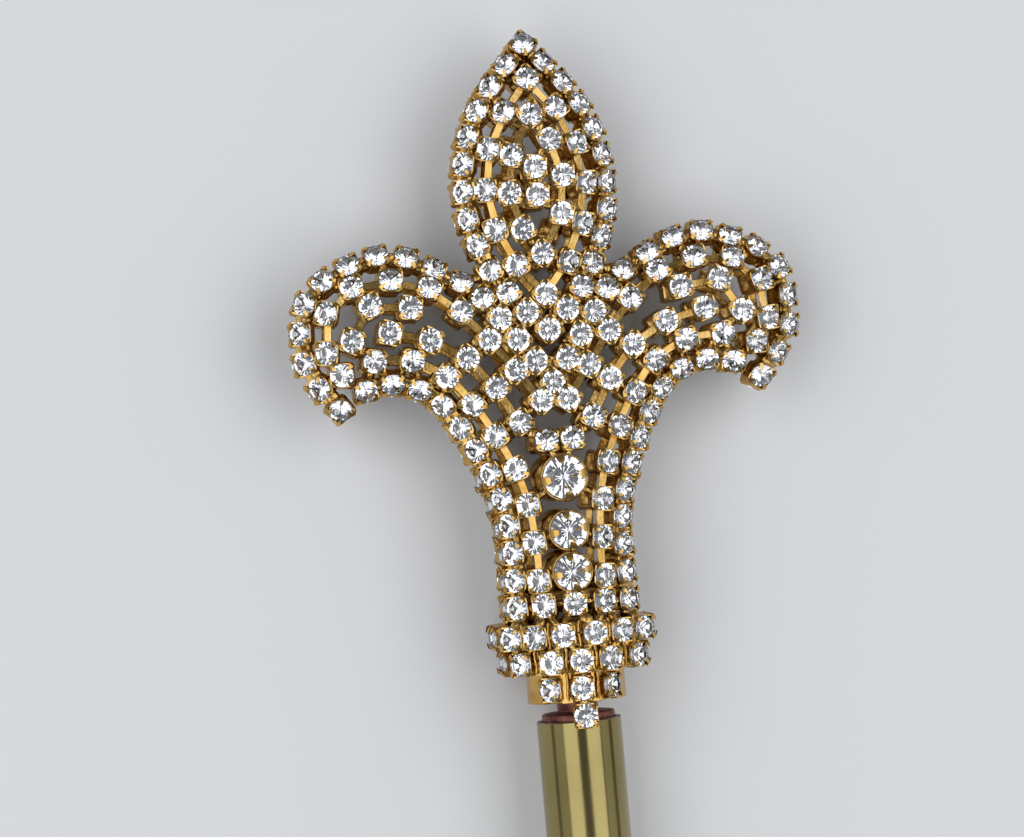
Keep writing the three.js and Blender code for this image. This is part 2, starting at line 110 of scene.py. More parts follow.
# A large stone and its round cup; the last three are shares of the radius
LARGE = {"wall": 0.45, "depth": 3.9, "crown": 1.0, "girdle": 0.25, "seat": 0.3, "turn": 0.2,
         "pavilion": 0.84, "table": 0.58, "claw": 0.42}
LARGE_CLAWS_FROM = math.radians(8)

# The link between two cups, the broad joint where they stand closer, and the solder beside them
LINK = {"width": 1.5, "thick": 0.45, "below": 1.5, "inset": 1.7, "lift": (-0.12, 0.05), "least_gap": 4.2}
JOINT = {"gap": 5.7, "width": (2.4, 3.0), "thick": 1.3, "below": (1.2, 1.5)}
SOLDER = {"depth": (0.9, 1.3), "aside": (-0.35, 0.35), "across": (0.7, 1.2), "thick": (0.8, 1.1),
          "inset": 1.8, "least": 0.5}
# Settings whose middles are nearer than this are soldered together
NEAR = {"net": 5.9, "closest": 5.2, "collar": 6.2, "foot": 7.4, "large": 4.6}
FEET_BELOW = 24  # the nets' cups under this height are soldered to the collar
LARGE_SOLDER = {"out": 0.45, "least_out": 0.2, "gap": 2.5, "below": 1.2, "inset": 2.0, "least": 0.6,
                "width": 0.75, "thick": 0.8}
# The joints between the front and the back rim, down to where the nets part
RIM_JOINT = {"leftmost": -0.1, "lowest": 48, "middle": 85, "inset": 0.9, "radius": 1.0,
             "from_rim": 2.7, "overlap": 0.5, "least": 1.5}

# The collar's bands, measured in from its cups' rims, and the uprights between its cups
BAND = {"outer": 2.4, "inner": 3.0, "edge": 0.3}
UPRIGHT = {"inset": 0.55, "low": 0.2, "high": 0.1, "width": 0.7, "rings": 7, "sides": 8}
RING_WALL = {"recess": math.radians(10.5), "thin": 1.0, "bevel": 0.12, "groove": 0.04, "lip": 0.7}
RING_UPRIGHT = {"at": (-2.7, 3.0), "out": 0.5, "low": 4.1, "high": 0.5, "width": 0.6}
DROP_LINK = {"up": 1.0, "behind": 2.1, "to": 0.8, "inset": 0.3, "width": 1.5, "thick": 0.5}

# The tube's and the fittings' eased edges, and how far the stain reaches from the tube's ends
EASE = {"inside": 0.1, "outside": 0.15, "post": 0.3}
STAINED = 0.2

# How finely turned forms are drawn: faces round each, and bands along the tube
ROUND = {"tube": 96, "fitting": 64, "large_cup": 32, "ring": 120}
TUBE_BANDS = 40


# The row frame: the head's frame is turned with the handle's end face and set on it.

end_face = next(m for m in frame["record"]["mounts"] if m["name"] == "handle_end")
lean = math.atan2(-end_face["axis"][2], -end_face["axis"][1])
tilt = Matrix.Rotation(lean, 4, "X")
end_in_head = Vector((0, -(TUBE["length"] + SEAM + PLUG["lip"]), 0)) * MM
shift = Vector(end_face["pos_m"]) - (tilt @ end_in_head)
TO_ROW = Matrix.Translation(shift) @ tilt @ Matrix.Scale(MM, 4)
BACKWARD = np.diag([-1.0, 1.0, -1.0])


# Curves and rows of cups


def bezier(a, b, c, d, n=60):
    t = np.linspace(0, 1, n)[:, None]
    return (1 - t) ** 3 * a + 3 * (1 - t) ** 2 * t * b + 3 * (1 - t) * t**2 * c + t**3 * d


def spline(points, n=30):
    p = np.array(points, float)
    out = []
    for i in range(len(p) - 1):
        p0, p1, p2, p3 = p[max(i - 1, 0)], p[i], p[i + 1], p[min(i + 2, len(p) - 1)]
        v0, v1 = (p2 - p0) / 2, (p3 - p1) / 2
        t = np.linspace(0, 1, n)[:, None]
        out.append(
            (2 * p1 - 2 * p2 + v0 + v1) * t**3
            + (-3 * p1 + 3 * p2 - 2 * v0 - v1) * t**2
            + v0 * t
            + p1
        )
    return np.concatenate(out)


def along(line, steps, slide=0.0, reach=0.2):
    """Evenly spaced cups (x, y, turn) on a drawn line, whose direction is read over its reach."""
    span = np.r_[0, np.cumsum(np.hypot(*np.diff(line, axis=0).T))]
    cups = []
    for i in range(steps + 1):
        at = span[-1] * i / steps + (slide if 0 < i < steps else 0)
        near = np.clip([at - reach, at + reach], 0, span[-1])
        (x0, x1), (y0, y1) = (np.interp(near, span, line[:, k]) for k in (0, 1))
        x, y = (np.interp(at, span, line[:, k]) for k in (0, 1))
        cups.append((float(x), float(y), math.atan2(y1 - y0, x1 - x0)))
    return cups


def leaf_loop(loop, side):
    top, foot, half, steps = (loop[k] for k in ("top", "foot", "half", "steps"))
    if half == 0:
        return along(np.array([(0, top), (0, foot)], float), steps)
    c = LEAF_CURVE
    up, down, close = top - LEAF_WAIST, LEAF_WAIST - foot, c["shoulder"] * half
    waist = (half, LEAF_WAIST)
    points = [
        [(0, top), (close, top - c["point"] * up), (half, LEAF_WAIST + c["above"] * up), waist],
        [waist, (half, LEAF_WAIST - c["below"] * down), (close, foot + c["heel"] * down), (0, foot)],
    ]
    line = np.concatenate([bezier(*np.array(p, float)) for p in points])
    return along(line, steps, -side * loop["turned"])


def row(steps, points):
    return along(spline(points), steps)


def mirrored(cup):
    x, y, turn = cup
    return (-x, y, math.pi - turn)


leaf_rim = leaf_loop(LEAF_LOOPS[0], 1)
wing_rim = row(*WING_RIM)
under_rim = row(*UNDER_RIM)
lone = [(x, y, 0.0) for x, y in LONE_CUPS]


def half_rows(side):
    return [
        *[leaf_loop(loop, side) for loop in LEAF_LOOPS],
        wing_rim,
        under_rim,
        *[row(*r) for r in WING_ROWS],
        *[[c] for c in lone],
    ]


# Each cup once, with the links between neighbours in its row
cups, links = [], []


def add_cup(cup, same=0.2):
    """The number of the cup; rows that meet share one."""
    for i, c in enumerate(cups):
        if math.hypot(c[0] - cup[0], c[1] - cup[1]) < same:
            return i
    cups.append(cup)
    return len(cups) - 1


for side, rows in ((1, half_rows(1)), (-1, half_rows(-1))):
    for chain in rows:
        ids = [add_cup(c if side == 1 else mirrored(c)) for c in chain]
        links += [(a, b) for a, b in zip(ids, ids[1:]) if a != b and (a, b) not in links]

right_rim = np.array(
    [c[:2] for c in [*under_rim[::-1], *wing_rim, *leaf_rim[:LEAF_RIM_CUPS][::-1]]]
)
RIM = np.concatenate([right_rim, (right_rim[:-1] * [-1, 1])[::-1]])


def inside_rim(x, y):
    a, b = RIM, np.roll(RIM, -1, axis=0)
    crosses = (a[:, 1] > y) != (b[:, 1] > y)
    with np.errstate(divide="ignore", invalid="ignore"):
        at = a[:, 0] + (y - a[:, 1]) / (b[:, 1] - a[:, 1]) * (b[:, 0] - a[:, 0])
    return np.count_nonzero(crosses & (x < at)) % 2 == 1


def from_rim(x, y):
    """How far a point lies inside the rim; the stem's foot is open, so it counts as going on."""
    y = max(y, RIM[0, 1] + 0.1)
    a, d = RIM[:-1], np.diff(RIM, axis=0)
    t = np.clip(((np.array([x, y]) - a) * d).sum(1) / (d**2).sum(1), 0, 1)
    least = np.hypot(*(a + d * t[:, None] - [x, y]).T).min()
    return least if inside_rim(x, y) else -least


def surface(x, y):
    """The level of the cups' rims: higher away from the outline and down the stem."""
    inward = from_rim(x, y) / SURFACE["slope_width"]
    part = np.clip((STEM["parts_at"] - y) / (STEM["parts_at"] - STEM["parted_at"]), 0, 1)
    part = part * part * (3 - 2 * part)
    level = SURFACE["rim_level"] + (STEM["side_level"] - SURFACE["rim_level"]) * part
    if inward < 0:
        return level + 2 * SURFACE["rise"] * inward
    return level + SURFACE["rise"] * (1 - (1 - min(inward, 1)) ** 2)


def surface_normal(x, y, step=0.4):
    n = Vector((
        surface(x - step, y) - surface(x + step, y),
        surface(x, y - step) - surface(x, y + step),
        2 * step,
    ))
    return n.normalized()


# Settings' places: 4x4 matrices whose columns are row, across, outward and the rim's middle


def stand(place, outward, along_row):
    outward = Vector(outward).normalized()
    u = Vector(along_row)
    u = (u - outward * u.dot(outward)).normalized()
    v = outward.cross(u)
    m = Matrix((u, v, outward)).transposed().to_4x4()
    m.translation = Vector(place)
    tip = Matrix.Rotation(rng.gauss(0, UNEVEN["tilt"]), 4, "X")
    return m @ (tip @ Matrix.Rotation(rng.gauss(0, UNEVEN["tilt"]), 4, "Y"))


net_places = []
for i, (x, y, turn) in enumerate(cups):
    turn += HAND_SET * math.sin(5 * i)
    place = (x, y, surface(x, y) + rng.uniform(-UNEVEN["level"], UNEVEN["level"]))
    net_places.append(stand(place, surface_normal(x, y), (math.cos(turn), math.sin(turn), 0)))

chain_places = []
for i in range(SIDE_CHAIN["cups"]):
    y = SIDE_CHAIN["from"] + (SIDE_CHAIN["to"] - SIDE_CHAIN["from"]) * i / (SIDE_CHAIN["cups"] - 1)
    edge = min(under_rim, key=lambda c: abs(c[1] - y))
    chain_places.append(stand((edge[0] + SIDE_CHAIN["out"], y, 0), (1, 0, 0), (0, 1, 0)))


def collar_level(x, half):
    beyond = max(0.0, abs(x) - COLLAR["flat"]) / (half - COLLAR["flat"])
    return COLLAR["level"] - COLLAR["fall"] * beyond**2


def collar_places():
    out = []
    for r in COLLAR_ROWS:
        half = r["across"][-1]
        for x in r["across"]:
            fall = 2 * COLLAR["fall"] * max(0, x - COLLAR["flat"]) / (half - COLLAR["flat"]) ** 2
            for sx in (1, -1) if x else (1,):
                for sz in (1, -1):
                    at = (sx * x, r["y"], sz * collar_level(x, half))
                    out.append(stand(at, (sx * fall, 0, sz), (1, 0, 0)))
        for sx in (1, -1):
            for sz in (1, -1):
                at = (sx * (half + COLLAR["side"]), r["y"], sz * r["side_spread"])
                out.append(stand(at, (sx, 0, 0), (0, 0, 1)))
    for facing in (0, math.pi):
        spread = math.radians(RING["spread"])
        for a, radius, y, up in (
            (facing - spread, RING["radius"], RING["y"], 0),
            (facing, RING["radius"], RING["y"], 0),
            (facing + spread, RING["radius"], RING["y"], 0),
            (facing, DROP["level"], DROP["y"], DROP["turned_up"]),
        ):
            at = (radius * math.sin(a), y, radius * math.cos(a))
            out.append(stand(at, (math.sin(a), up, math.cos(a)), (math.cos(a), 0, -math.sin(a))))
    return out


# Meshes, built from templates (vertices, faces)


class Builder:
    """Collects copies of template meshes into one mesh."""

    def __init__(self):
        self.verts, self.faces, self.count = [], [], 0

    def add(self, template, matrix=None):
        verts, faces = template
        verts = np.asarray(verts, float)
        if matrix is not None:
            m = np.array(matrix)
            verts = verts @ m[:3, :3].T + m[:3, 3]
        self.verts.append(verts)
        self.faces += [tuple(i + self.count for i in f) for f in faces]
        self.count += len(verts)

    def turned_back(self):
        for i, v in enumerate(self.verts):
            self.verts[i] = v @ BACKWARD
        return self

    def piece(self, name, material, smooth_angle=None):
        m = np.array(TO_ROW)
        verts = np.concatenate(self.verts) @ m[:3, :3].T + m[:3, 3]
        mesh = bpy.data.meshes.new(name)
        mesh.from_pydata(verts.tolist(), [], self.faces)
        mesh.validate()
        bm = bmesh.new()
        bm.from_mesh(mesh)
        bmesh.ops.recalc_face_normals(bm, faces=bm.faces)  # every closed shell faces out
        bm.to_mesh(mesh)
        bm.free()
        obj = bpy.data.objects.new(name, mesh)
        bpy.context.scene.collection.objects.link(obj)
        mesh.materials.append(material)
        if smooth_angle is not None:
            mesh.shade_smooth()
            mesh.set_sharp_from_angle(angle=math.radians(smooth_angle))
        return obj


def ring_faces(rings, size):
    """The faces of a closed form through rings of the same number of points."""
    faces = []
    for k in range(rings - 1):
        for i in range(size):
            j = (i + 1) % size
            a, b = k * size, (k + 1) * size
            faces.append((a + i, a + j, b + j, b + i))
    faces.append(tuple(reversed(range(size))))
    faces.append(tuple(range((rings - 1) * size, rings * size)))
    return faces


def joined(*templates):
    """Several templates as one."""
    verts, faces = [], []
    for points, around in templates:
        faces += [tuple(i + len(verts) for i in f) for f in around]
        verts += points
    return verts, faces


def claws(sections, start):
    """Four claws a quarter turn apart, each through sections of points (out, across, height)."""
    verts, faces = [], []
    for k in range(4):
        a = k * math.pi / 2 + start
        c, s = math.cos(a), math.sin(a)
        faces += [tuple(len(verts) + i for i in f) for f in ring_faces(len(sections), len(sections[0]))]
        verts += [(r * c - x * s, r * s + x * c, h) for section in sections for r, x, h in section]
    return verts, faces


def rounded_square(width, corner):
    """Sixteen points: three on each corner and one in the middle of each side."""
    h = width / 2
    pts = []
    for k in range(4):
        a = k * math.pi / 2
        out = (h - corner) * math.sqrt(2)
        cx, cy = out * math.cos(a + math.pi / 4), out * math.sin(a + math.pi / 4)
        for t in (0, math.pi / 4, math.pi / 2):
            pts.append((cx + corner * math.cos(a + t), cy + corner * math.sin(a + t)))
        pts.append((-h * math.sin(a), h * math.cos(a)))
    return pts


def cup_template():
    """A square cup, tapered to its foot, with four claws bent over the stone."""
    w, c, foot, floor = CUP["width"], CUP["corner"], CUP["foot"], -CUP["depth"]
    inside, bore = CUP_INSIDE, w - 2 * CUP["wall"]
    rim = [CUP_RIM[k] for k in ("beside", "claw", "beside", "low")] * 4
    levels = [  # width, corner and the height of each point, from the foot up and down the inside
        (foot - 0.7, 0.5, [floor] * 16),
        (foot, 0.7, [floor + 0.18] * 16),
        (w, c, [-CUP["shoulder"]] * 16),
        (w, c, rim),
        (bore, inside["corner"], rim),
        (bore, inside["corner"], [-inside["straight"]] * 16),
        (inside["well"], 0.4, [floor + inside["floor"]] * 16),
    ]
    verts = [(x, y, z) for width, corner, heights in levels
             for (x, y), z in zip(rounded_square(width, corner), heights)]
    reach, half, thick = (w / 2 - c) * math.sqrt(2) + c, CLAW["width"] / 2, CLAW["thick"]
    stations = [  # distance out, height, half width, and the inner side's steps in and up
        (reach - 0.02, -0.7, half, -thick, 0),
        (reach - 0.02, 0.22, half, -thick, -0.02),
        (reach - 0.38, 0.58, half * 0.95, -0.1, -thick),
        (reach - 1.25, 0.82, CLAW["tip"] / 2, 0.03, -0.24),
    ]
    sections = [
        [(out, -half, z), (out, half, z), (out + din, half * 0.9, z + dz), (out + din, -half * 0.9, z + dz)]
        for out, z, half, din, dz in stations
    ]
    return joined((verts, ring_faces(len(levels), 16)), claws(sections, math.pi / 4))


def polar(radius, angle, z):
    return (radius * math.cos(angle), radius * math.sin(angle), z)


def stone_template(r, table, crown, girdle, pavilion):
    """A round stone: table, kites and halves above, long facets down to a small culet below."""
    mains = FACETS["mains"]
    step, n = 2 * math.pi / mains, 2 * mains
    verts = [polar(table, k * step, girdle + crown) for k in range(mains)]
    verts += [polar(r, i * step / 2, girdle) for i in range(n)]
    verts += [polar(r, i * step / 2, 0) for i in range(n)]
    verts += [polar(r * FACETS["culet"], k * step, -pavilion) for k in range(mains)]
    top, low, culet = mains, mains + n, mains + 2 * n
    faces = [tuple(range(mains)), tuple(reversed(range(culet, culet + mains)))]
    for k in range(mains):
        j, i = (k + 1) % mains, 2 * k
        before, mid, after = (i - 1) % n, i + 1, (i + 2) % n
        faces.append((k, top + before, top + i, top + mid))
        faces.append((k, top + mid, j))
        faces.append((culet + k, low + mid, low + i, low + before))
        faces.append((culet + j, low + mid, culet + k))
    for i in range(n):
        j = (i + 1) % n
        faces.append((low + i, low + j, top + j, top + i))
    return verts, faces


def foil_template(r, pavilion):
    """The silvered backing: a thin closed shell just behind the pavilion."""
    verts, n = [], 2 * FACETS["mains"]
    step = 2 * math.pi / n
    for off in (FOIL["gap"], FOIL["gap"] + FOIL["thick"]):
        verts += [polar(r + off, i * step, -FOIL["below"] - off) for i in range(n)]
        verts.append((0, 0, -pavilion * FOIL["point"] - off))
    faces = []
    for i in range(n):
        j = (i + 1) % n
        faces.append((n, i, j))
        faces.append((2 * n + 1, n + 1 + j, n + 1 + i))
        faces.append((i, n + 1 + i, n + 1 + j, j))
    return verts, faces


def lathe(profile, segments, closed=False):
    """A turned form about y from a profile of (radius, height); an open profile ends on the axis."""
    verts, faces = [], []
    count = len(profile)
    for i in range(segments):
        a = 2 * math.pi * i / segments
        verts += [(r * math.sin(a), h, r * math.cos(a)) for r, h in profile]
    for i in range(segments):
        j = (i + 1) % segments
        for k in range(count if closed else count - 1):
            q = (k + 1) % count
            a, b, c, d = i * count + k, j * count + k, j * count + q, i * count + q
            if profile[k][0] == 0:
                faces.append((a, c, d))
            elif profile[q][0] == 0:
                faces.append((a, b, d))
            else:
                faces.append((a, b, c, d))
    return verts, faces


def bar(a, b, across, width, thick, bevel=0.12, stations=2, lift=0.0):
    """A flat link from a to b, wide in the direction across, with its corners eased."""
    a, b, across = Vector(a), Vector(b), Vector(across)
    ahead = (b - a).normalized()
    across = (across - ahead * across.dot(ahead)).normalized()
    up = ahead.cross(across)
    w, t = width / 2, thick / 2
    e = min(bevel, t * 0.9)
    upper = [(w, t - e), (w - e, t), (-w + e, t), (-w, t - e)]
    section = upper + [(x, -y) for x, y in reversed(upper)]
    verts = []
    for i in range(stations):
        s = i / (stations - 1)
        at = a.lerp(b, s) + up * lift * math.sin(math.pi * s)
        verts += [tuple(at + across * x + up * y) for x, y in section]
    return verts, ring_faces(stations, 8)


def ball():
    """The vertices and faces of a ball of radius 1."""
    bm = bmesh.new()
    bmesh.ops.create_icosphere(bm, subdivisions=2, radius=1)
    verts = [tuple(v.co) for v in bm.verts]
    faces = [tuple(v.index for v in f.verts) for f in bm.faces]
    bm.free()
    return np.array(verts), faces


BALL = ball()


def blob(centre, axes, radii, rough=0.16):
    """A lump of solder: a ball stretched along three axes, with waves on its skin."""
    phase = [rng.uniform(0, 6.3) for _ in range(3)]  # the third only keeps the later draws in step
    verts, faces = BALL
    first = np.sin(verts @ np.array([3.1, 2.3, 1.7]) * 1.6 + phase[0])
    second = np.cos(verts @ np.array([-1.9, 2.8, 2.2]) * 1.4 + phase[1])
    swell = 1 + rough * first * second
    m = np.array([list(a) for a in axes])
    return verts * swell[:, None] * np.array(radii) @ m + np.array(centre), faces


CUP_MESH = cup_template()
STONE_MESH = stone_template(*(STONE[k] for k in ("radius", "table", "crown", "girdle", "pavilion")))
FOIL_MESH = foil_template(STONE["radius"], STONE["pavilion"])


def set_cups(places, gold, stones, foils):
    for m in places:
        gold.add(CUP_MESH, m)
        sunk = LOOSE["side_sunk"] if abs(m.to_3x3().col[2].x) > LOOSE["sideways"] else 0
        spin = Matrix.Rotation(rng.uniform(0, LOOSE["spin"]), 4, "Z")
        seat = m @ Matrix.Translation((0, 0, STONE["seat"] - sunk)) @ spin
        seat = seat @ Matrix.Rotation(rng.gauss(0, LOOSE["tilt"]), 4, "X")
        stones.add(STONE_MESH, seat)
        foils.add(FOIL_MESH, seat)


def solder(gold, a, b, size=1.0):
    """Solder between two settings that nearly touch."""
    pa, pb = a.translation, b.translation
    na, nb = a.to_3x3().col[2], b.to_3x3().col[2]
    ahead = (pb - pa).normalized()
    up = (na + nb - ahead * (na + nb).dot(ahead)).normalized()
    side = ahead.cross(up)
    depth = rng.uniform(*SOLDER["depth"])
    middle = (pa + pb) / 2 - up * depth + side * rng.uniform(*SOLDER["aside"])
    reach = max(SOLDER["least"], (pb - pa).length / 2 - SOLDER["inset"])
    radii = (reach * size, rng.uniform(*SOLDER["across"]) * size, rng.uniform(*SOLDER["thick"]) * size)
    gold.add(blob(middle, (ahead, side, up), radii))


def link(gold, a, b):
    """The flat link between two cups of a chain; where they stand closer, the joint is broad."""
    pa, pb = a.translation, b.translation
    gap = (pb - pa).length
    if gap < LINK["least_gap"]:
        return
    width, thick, below = LINK["width"], LINK["thick"], LINK["below"]
    if gap < JOINT["gap"]:
        width, thick, below = rng.uniform(*JOINT["width"]), JOINT["thick"], rng.uniform(*JOINT["below"])
    pa, pb = pa - a.to_3x3().col[2] * below, pb - b.to_3x3().col[2] * below
    ahead = (pb - pa).normalized()
    up = a.to_3x3().col[2] + b.to_3x3().col[2]
    start, end = pa + ahead * LINK["inset"], pb - ahead * LINK["inset"]
    lift = rng.uniform(*LINK["lift"])
    gold.add(bar(start, end, up.cross(ahead), width, thick, stations=3, lift=lift))


def large_setting(radius):
    """A round cup with four broad claws."""
    outer, floor = radius + LARGE["wall"], -LARGE["depth"]
    profile = [  # the underside, the outside, the rim and the inside
        (0, floor), (outer - 1.1, floor), (outer - 0.75, floor + 0.25),
        (outer, -1.2), (outer, -0.05), (outer - 0.12, 0.08), (outer - 0.36, 0.02),
        (outer - 0.6, -0.6), (0.6, floor + 0.4), (0, floor + 0.4),
    ]
    verts, faces = lathe(profile, ROUND["large_cup"])
    wide, ridge = radius * LARGE["claw"], 0.06
    stations = [  # distance out, height, half width, and the inner side's steps in and up
        (outer + 0.02, -0.6, wide / 2, -0.4, 0),
        (outer + 0.02, 0.5, wide / 2, -0.4, -0.05),
        (outer - 0.4, 1.0, wide / 2, -0.18, -0.38),
        (outer - 1.15, 1.42, wide * 0.44, 0.05, -0.36),
        (outer - 1.75, 1.6, wide * 0.26, 0.1, -0.3),
    ]
    sections = [
        [(out, -half, z), (out + ridge, 0, z + ridge), (out, half, z), (out + din, half, z + dz),
         (out + din, -half, z + dz)]
        for out, z, half, din, dz in stations
    ]
    return joined(([(x, -z, h) for x, h, z in verts], faces), claws(sections, LARGE_CLAWS_FROM))


large_places = [Matrix.Translation((0, y, surface(0, y))) for y, _ in LARGE_STONES]


def solder_large(gold, setting, radius, place, gap):
    """Solder between a large setting and a cup of the net beside it."""
    size, front = LARGE_SOLDER, Vector((0, 0, 1))
    ahead = (place.translation - setting.translation).normalized()
    out = radius + size["out"] + max(size["least_out"], (gap - size["gap"]) / 2)
    at = setting.translation + ahead * out - front * size["below"]
    side = ahead.cross(front).normalized()
    radii = (max(size["least"], gap - size["inset"]), size["width"], size["thick"])
    gold.add(blob(at, (ahead, side, side.cross(ahead)), radii))


def solder_rim(gold):
    """The joints of the two rims. Each net brings those of its own right side."""
    size, axes = RIM_JOINT, np.identity(3)
    for x, y in RIM:
        if x < size["leftmost"] or y < size["lowest"]:
            continue
        inward = Vector((-x, size["middle"] - y, 0)).normalized() * size["inset"]
        reach = max(size["least"], surface(x, y) - size["from_rim"] + size["overlap"])
        gold.add(blob((x + inward.x, y + inward.y, 0), axes, (size["radius"], size["radius"], reach)))


def net_builders():
    gold, stones, foils = Builder(), Builder(), Builder()
    set_cups(net_places, gold, stones, foils)
    for a, b in links:
        link(gold, net_places[a], net_places[b])
    for i in range(len(cups)):
        for j in range(i + 1, len(cups)):
            gap = math.hypot(cups[i][0] - cups[j][0], cups[i][1] - cups[j][1])
            if gap < NEAR["net"]:
                solder(gold, net_places[i], net_places[j], 1.0 if gap < NEAR["closest"] else 0.9)
    for (y, radius), m in zip(LARGE_STONES, large_places):
        gold.add(large_setting(radius), m)
        for place, cup in zip(net_places, cups):
            gap = math.hypot(cup[0], cup[1] - y) - radius
            if gap < NEAR["large"]:
                solder_large(gold, m, radius, place, gap)
    solder_rim(gold)
    return gold, stones, foils


def chain_builders():
    gold, stones, foils = Builder(), Builder(), Builder()
    set_cups(chain_places, gold, stones, foils)
    for a, b in zip(chain_places, chain_places[1:]):
        link(gold, a, b)
        solder(gold, a, b)
    return gold, stones, foils


# The collar


def band_section(half, inset, steps=24):
    """The bowed outline of a band in x and z, in from the rims of its cups."""
    reach = half + COLLAR["side"]
    front = []
    for i in range(steps + 1):
        x = 1 - 2 * i / steps
        front.append((x * (reach - inset), collar_level(x * half, half) - inset))
    return front + [(-x, -z) for x, z in front]


def band(outer, inner, low, high):
    """A closed band between two outlines in x and z."""
    n = len(outer)
    verts = []
    for outline, y in ((outer, low), (outer, high), (inner, high), (inner, low)):
        verts += [(x, y, z) for x, z in outline]
    faces = []
    for k in range(4):
        for i in range(n):
            j = (i + 1) % n
            a, b = k * n, (k + 1) % 4 * n
            faces.append((a + i, a + j, b + j, b + i))
    return verts, faces


def circle(radius, count):
    """Points round a circle in x and z, in the same order as band_section."""
    angles = [2 * math.pi * i / count for i in range(count)]
    return [(radius * math.cos(a), radius * math.sin(a)) for a in angles]


def upright(x, z, low, high, width):
    """An upright run of solder between two cups, with waves in its width and a slight sway."""
    verts, rings, sides = [], UPRIGHT["rings"], UPRIGHT["sides"]
    phase = rng.uniform(0, 6)
    for k in range(rings):
        s = k / (rings - 1)
        waves = 0.75 + 0.35 * math.sin(3 * s * math.pi + phase) ** 2
        r = width / 2 * waves * (0.6 if k in (0, rings - 1) else 1)
        sway = 0.12 * math.sin(2.2 * s * math.pi + phase)
        for i in range(sides):
            a = 2 * math.pi * i / sides
            verts.append((x + sway + r * math.cos(a), low + (high - low) * s, z - r * 1.3 * math.sin(a)))
    return verts, ring_faces(rings, sides)


def ring_band(high):
    """The plain ring, set back where a cup stands in it."""
    low, bore = RING["from"], RING["bore"]
    bevel, groove, lip = (RING_WALL[k] for k in ("bevel", "groove", "lip"))
    cup_angles = [f + s * math.radians(RING["spread"]) for f in (0, math.pi) for s in (-1, 0, 1)]
    segments = ROUND["ring"]
    verts, faces = [], []
    for i in range(segments):
        a = 2 * math.pi * i / segments
        near = min(abs((a - c + math.pi) % (2 * math.pi) - math.pi) for c in cup_angles)
        wall = RING["band"] if near > RING_WALL["recess"] else bore + RING_WALL["thin"]
        profile = [
            (bore, low + 0.15), (bore, high), (wall - bevel, high), (wall, high - bevel),
            (wall - groove, high - lip), (wall - groove, low + lip), (wall, low + bevel),
            (wall - bevel, low), (bore + 0.15, low),
        ]
        verts += [(r * math.sin(a), h, r * math.cos(a)) for r, h in profile]
    n = len(profile)
    for i in range(segments):
        j = (i + 1) % segments
        for k in range(n):
            q = (k + 1) % n
            faces.append((i * n + k, i * n + q, j * n + q, j * n + k))
    return verts, faces


def collar_solder(gold, places):
    """Solder between the collar's cups, and from them to the lowest cups of the two nets."""
    for i, a in enumerate(places):
        for b in places[i + 1:]:
            if (a.translation - b.translation).length < NEAR["collar"]:
                solder(gold, a, b, 0.95)
    turned_about = Matrix.Rotation(math.pi, 4, "Y")
    feet = [m for m, c in zip(net_places, cups) if c[1] < FEET_BELOW]
    for foot in [*feet, *[turned_about @ m for m in feet]]:
        for place in places:
            if (foot.translation - place.translation).length < NEAR["foot"]:
                solder(gold, foot, place, 1.1)


def collar_row(gold, r):
    """A bowed band, with an upright between each two of its cups."""
    half, edge = r["across"][-1], BAND["edge"]
    outer, inner = band_section(half, BAND["outer"]), band_section(half, BAND["inner"])
    gold.add(band(outer, inner, r["from"] + edge, r["to"] - edge))
    xs = sorted({s * x for x in r["across"] for s in (1, -1)})
    for x0, x1 in zip(xs, xs[1:]):
        x = (x0 + x1) / 2
        for sz in (1, -1):
            z = sz * (collar_level(x, half) - UPRIGHT["inset"])
            low, high = r["from"] + UPRIGHT["low"], r["to"] + UPRIGHT["high"]
            gold.add(upright(x, z, low, high, UPRIGHT["width"]))


def collar_builders():
    gold, stones, foils = Builder(), Builder(), Builder()
    places = collar_places()
    set_cups(places, gold, stones, foils)
    collar_solder(gold, places)
    for r in COLLAR_ROWS:
        collar_row(gold, r)
    shelf_low = COLLAR_ROWS[1]["from"]
    shelf = band_section(COLLAR_ROWS[1]["across"][-1], BAND["outer"])
    gold.add(band(shelf, circle(RING["bore"], len(shelf)), shelf_low, shelf_low + COLLAR["shelf"]))
    gold.add(ring_band(shelf_low + BAND["edge"]))
    by, size = RING_UPRIGHT, DROP_LINK
    for sz in (1, -1):
        for x in by["at"]:
            z = sz * math.sqrt((RING["band"] + by["out"]) ** 2 - x * x)
            gold.add(upright(x, z, by["low"], shelf_low + by["high"], by["width"]))
        cup_end = (0, DROP["y"] + size["up"], sz * (DROP["level"] - size["behind"]))
        ring_end = (0, RING["from"] + size["to"], sz * (RING["band"] - size["inset"]))
        gold.add(bar(cup_end, ring_end, (1, 0, 0), size["width"], size["thick"]))
    return gold, stones, foils


# Materials


def nodes_of(name):
    mat = bpy.data.materials.new(name)
    mat.use_nodes = True
    tree = mat.node_tree
    return mat, tree, tree.nodes["Principled BSDF"]


def noise(tree, scale, detail=3.0, stretch=None):
    n = tree.nodes.new("ShaderNodeTexNoise")
    n.inputs["Scale"].default_value = scale
    n.inputs["Detail"].default_value = detail
    where = tree.nodes.new("ShaderNodeTexCoord").outputs["Object"]
    if stretch:
        m = tree.nodes.new("ShaderNodeMapping")
        m.inputs["Scale"].default_value = stretch
        tree.links.new(where, m.inputs["Vector"])
        where = m.outputs["Vector"]
    tree.links.new(where, n.inputs["Vector"])
    return n.outputs["Fac"]


